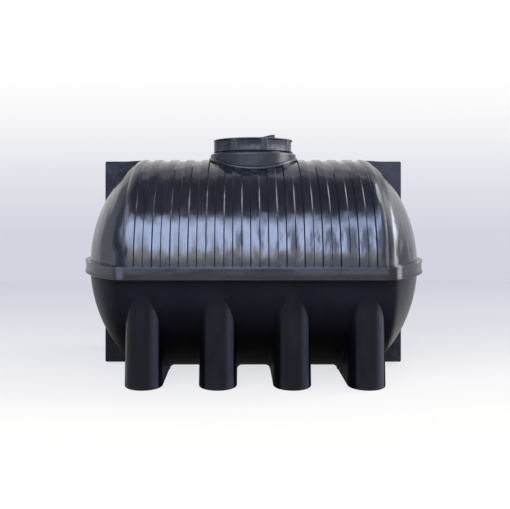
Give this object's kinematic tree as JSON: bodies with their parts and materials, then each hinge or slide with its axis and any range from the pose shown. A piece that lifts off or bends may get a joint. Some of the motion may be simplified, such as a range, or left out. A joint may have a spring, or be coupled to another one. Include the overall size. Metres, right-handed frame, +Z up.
{
  "type": "horizontal moulded polyethylene septic tank",
  "caption": "Horizontal moulded plastic septic tank with a ribbed barrel, dished ends, a joint band, buttress legs, corner webs and a screw-lidded manhole.",
  "frame": {"origin": "on the ground under the middle of the tank", "axes": "+X along the tank, +Y to the back, +Z up through the manhole"},
  "size_m": [1.914, 1.252, 1.32],
  "materials": {
    "shell": "glossy moulded black polyethylene",
    "belly": "dull moulded black polyethylene",
    "band": "rubbed black polyethylene edge",
    "leg": "dull moulded black polyethylene",
    "web": "pressed black polyethylene",
    "neck": "satin black polyethylene",
    "lid": "satin black polypropylene, slightly chalked",
    "seal": "plain black rubber"
  },
  "bodies": {
    "tank": {"upper_barrel": "shell", "lower_barrel": "belly", "upper_left_end": "shell", "upper_right_end": "shell", "lower_left_end": "belly", "lower_right_end": "belly", "front_band": "band", "back_band": "band", "left_band": "band", "right_band": "band", "front_leg_1": "leg", "front_leg_2": "leg", "front_leg_3": "leg", "front_leg_4": "leg", "back_leg_1": "leg", "back_leg_2": "leg", "back_leg_3": "leg", "back_leg_4": "leg", "upper_left_web": "web", "upper_right_web": "web", "lower_left_web": "web", "lower_right_web": "web", "neck_collar": "neck", "neck_throat": "neck"},
    "seal": {"lid_seal": "seal"},
    "lid": {"screw_lid": "lid", "lid_lug": "lid"}
  },
  "joints": [
    {"name": "lid_lift", "type": "slide", "parent": "tank", "child": "seal", "axis": [0, 0, 1], "range_m": [0, 0.35]},
    {"name": "lid_turn", "type": "hinge", "parent": "seal", "child": "lid", "pos_m": [0, 0, 1.29], "axis": [0, 0, 1], "range_deg": [0, 450]}
  ]
}
